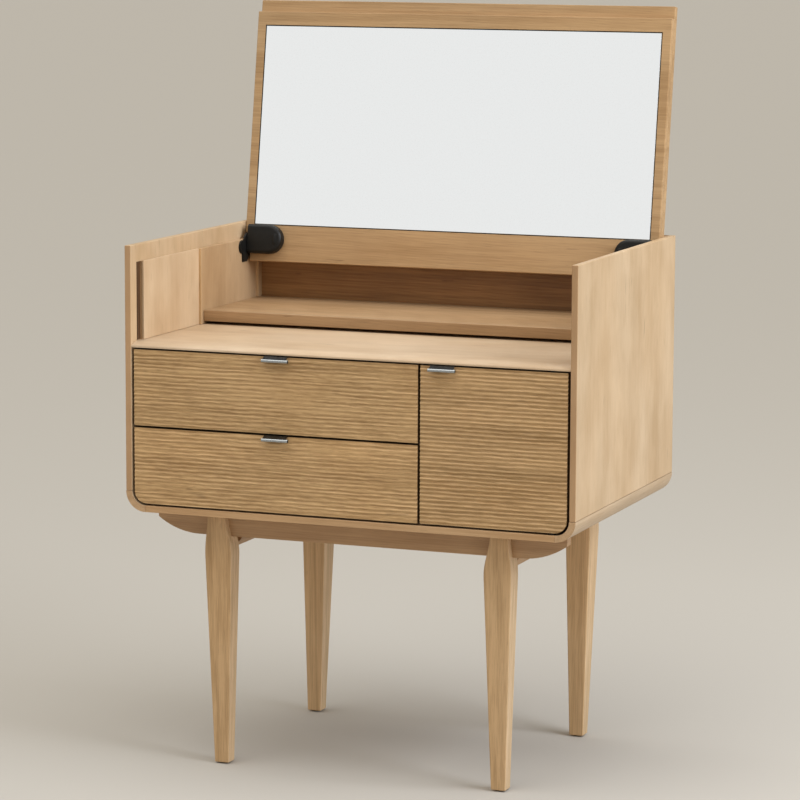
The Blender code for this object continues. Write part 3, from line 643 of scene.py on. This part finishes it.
def hinge_housing(node, side):
    """A D-shaped moulding with a pillowed nose, a parting line and an oval screw cover."""
    turn = lid_frame()
    low, high = local_box(node, turn)
    half = (high.z - low.z) / 2
    middle = (high.z + low.z) / 2
    flat = high.x if side > 0 else low.x
    round_x = (low.x if side > 0 else high.x) + side * half
    outline = [(flat, high.z)]
    for step in range(HOUSING_ARC_STEPS + 1):
        angle = math.radians(90 + 180 * step / HOUSING_ARC_STEPS)
        outline.append((round_x + side * half * math.cos(angle), middle + half * math.sin(angle)))
    outline.append((flat, low.z))
    centre_x = round_x + side * 0.006
    levels = [(high.y - forward, inset) for forward, inset in HOUSING_PARTING]
    for step in range(HOUSING_NOSE_STEPS + 1):
        angle = math.radians(90 * step / HOUSING_NOSE_STEPS)
        rise = low.y + HOUSING_ROUND * (1 - math.sin(angle))
        levels.append((rise, HOUSING_ROUND * (1 - math.cos(angle))))
    shape = bmesh.new()
    rings = []
    for y, inset in levels:
        ring = []
        for x, z in outline:
            share = 1 - inset / half
            along = flat if x == flat else centre_x + (x - centre_x) * share
            ring.append(shape.verts.new((along, y, middle + (z - middle) * share)))
        rings.append(ring)
    ovals = []
    for width, rise in COVER_STEPS:
        ring = []
        for step in range(COVER_POINTS):
            angle = 2 * math.pi * step / COVER_POINTS
            x = round_x - side * COVER_IN + width * math.cos(angle)
            tall = COVER_STRAIGHT if math.sin(angle) > 0 else -COVER_STRAIGHT
            z = middle + tall + width * math.sin(angle)
            ring.append(shape.verts.new((x, low.y + COVER_SUNK - rise, z)))
        ovals.append(ring)
    for loops in (rings, ovals):
        for near, far in zip(loops, loops[1:]):
            bridge(shape, near, far)
        shape.faces.new(loops[0])
        shape.faces.new(loops[-1])
    bmesh.ops.transform(shape, matrix=turn, verts=shape.verts)
    smooth(piece(node + "_moulded", shape, BLACK, "lid", node), 42)


# The channel in a side panel: its depth, where it starts behind the panel's front edge, the
# thickness of its liner, and the half widths and height of the lip down the liner's middle.
GROOVE_DEPTH = 0.0040
GROOVE_START = 0.0232
LINER_THICK = 0.0006
LIP_FOOT, LIP_TOP = 0.0022, 0.0016
LIP_RISE = 0.0018


def groove_liner(side):
    """A dark liner in the channel ahead of a front lining, with a lip down its middle."""
    label = "left" if side < 0 else "right"
    low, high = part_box(label + "_side_panel")
    lining_low, lining_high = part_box(label + "_front_lining")
    inner = high.x if side < 0 else low.x
    floor_x = inner + side * GROOVE_DEPTH
    start = low.y + GROOVE_START
    end = lining_low.y - 0.0004
    middle = (start + end) / 2
    profile = [(start, 0.0), (start, LINER_THICK), (middle - LIP_FOOT, LINER_THICK)]
    profile += [(middle - LIP_TOP, LIP_RISE), (middle + LIP_TOP, LIP_RISE)]
    profile += [(middle + LIP_FOOT, LINER_THICK), (end, LINER_THICK), (end, 0.0)]
    shape = bmesh.new()
    loops = []
    for z in (lining_low.z + 0.0004, lining_high.z - 0.0006):
        line = [(floor_x - side * (rise + 0.0001), y, z) for y, rise in profile]
        loops.append([shape.verts.new(point) for point in line])
        shape.faces.new(loops[-1])
    bridge(shape, *loops)
    material = oak(label + "_groove_liner", "Z", "groove", "sawn", 0.004, 0.02)
    piece(label + "_groove_liner", shape, material, "table")


# The black band of painted shade round the mirror: its inner and outer edge past the glass, and its
# front and back.
GAP_SHADE_EDGES = (0.0001, 0.0010)
GAP_SHADE_FACES = (0.0001, 0.0030)


def mirror_gap_shade():
    """A thin black band that paints the shadow in the gap between the mirror and its rebate."""
    turn = lid_frame()
    low, high = local_box("mirror", turn)
    shape = bmesh.new()
    loops = []
    for grow in GAP_SHADE_EDGES:
        for back in GAP_SHADE_FACES:
            y = low.y + back
            corners = ((low.x - grow, low.z - grow), (high.x + grow, low.z - grow))
            corners += ((high.x + grow, high.z + grow), (low.x - grow, high.z + grow))
            loops.append([shape.verts.new((x, y, z)) for x, z in corners])
    inner_front, inner_back, outer_front, outer_back = loops
    around = (inner_front, outer_front, outer_back, inner_back, inner_front)
    for near, far in zip(around, around[1:]):
        bridge(shape, near, far)
    bmesh.ops.transform(shape, matrix=turn, verts=shape.verts)
    piece("mirror_gap_shade", shape, BLACK, "lid")


# ---------------------------------------------------------------- studio


SKY_COLOUR = (1.0, 0.905, 0.76, 1)
SKY_STRENGTH = 0.36
FLOOR_COLOUR = (0.50, 0.48, 0.44, 1)
FLOOR_RADIUS = 200.0

# Area lights: place, target, width and height, power, colour. The mirror faces the second one
# in the main view.
AREA_LIGHTS = {
    "key_right": ((2.9, -0.5, 2.7), (0.3, 0, 0.75), (2.0, 2.0), 84, (0.92, 0.965, 1.05)),
    "mirror_card": ((-2.2, -6.0, 2.6), (0, 0.2, 1.05), (4.0, 3.0), 22.5, (0.91, 0.96, 1.045)),
}
# Broad distant lights: the way from the table to each, strength, spread in degrees, colour.
SUNS = {
    "low_right": ((0.95, -0.28, 0.12), 0.80, 30, (0.93, 0.965, 1.03)),
    "soft_top": ((-0.10, -0.20, 0.97), 2.05, 70, (1.0, 0.98, 0.95)),
}


def add_light(name, data, direction, energy, colour):
    data.energy = energy
    data.color = colour
    light = bpy.data.objects.new(name, data)
    light.rotation_euler = direction.to_track_quat("-Z", "Y").to_euler()
    bpy.context.scene.collection.objects.link(light)
    return light


def build_lights():
    for name, (place, target, size, power, colour) in AREA_LIGHTS.items():
        data = bpy.data.lights.new(name, "AREA")
        data.shape = "RECTANGLE"
        data.size, data.size_y = size
        add_light(name, data, Vector(target) - Vector(place), power, colour).location = place
    for name, (towards, strength, spread, colour) in SUNS.items():
        data = bpy.data.lights.new(name, "SUN")
        data.angle = math.radians(spread)
        add_light(name, data, -Vector(towards), strength, colour)


def build_studio():
    scene = bpy.context.scene
    scene.view_settings.view_transform = "Standard"
    world = bpy.data.worlds.new("studio_world")
    world.use_nodes = True
    background = world.node_tree.nodes["Background"]
    background.inputs["Color"].default_value = SKY_COLOUR
    background.inputs["Strength"].default_value = SKY_STRENGTH
    scene.world = world

    shape = bmesh.new()
    bmesh.ops.create_circle(shape, cap_ends=True, segments=64, radius=FLOOR_RADIUS)
    mesh = bpy.data.meshes.new("studio_floor")
    shape.to_mesh(mesh)
    shape.free()
    floor = bpy.data.objects.new("studio_floor", mesh)
    scene.collection.objects.link(floor)
    s = Shader("studio_floor")
    s.set(Base_Color=FLOOR_COLOUR, Roughness=0.85, Specular_IOR_Level=0.2)
    mesh.materials.append(s.material)


def build_camera():
    data = bpy.data.cameras.new("camera")
    data.lens = CAMERA_LENS
    data.sensor_width = CAMERA_SENSOR
    data.clip_end = CAMERA_REACH
    camera = bpy.data.objects.new("camera", data)
    turn = Matrix.Rotation(CAMERA_YAW, 4, "Z") @ Matrix.Rotation(math.pi / 2 - CAMERA_PITCH, 4, "X")
    turn = turn @ Matrix.Rotation(CAMERA_ROLL, 4, "Z")
    camera.matrix_world = Matrix.Translation(CAMERA_PLACE) @ turn
    bpy.context.scene.collection.objects.link(camera)
    bpy.context.scene.camera = camera


# The fronts by body: CAD node, tone, noise seed, rounded side, rib depth and evenness.
FRONTS = {
    "upper_drawer": ("upper_drawer_front", "front", 3.0, 0, 0.0022, 0.55),
    "lower_drawer": ("lower_drawer_front", "front_low", 21.0, -1, 0.0022, 0.58),
    "door": ("door", "front_door", 47.0, 1, 0.0024, 0.82),
}

build_camera()
build_studio()
build_lights()
dress_table()
for body, (node, *look) in FRONTS.items():
    ribbed_front(node, body, *look)
for body, (node, *_) in FRONTS.items():
    pull(body + "_handle", body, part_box(node)[0].y)
hinge_housing("left_hinge_housing", -1)
hinge_housing("right_hinge_housing", 1)
mirror_gap_shade()
groove_liner(-1)
groove_liner(1)
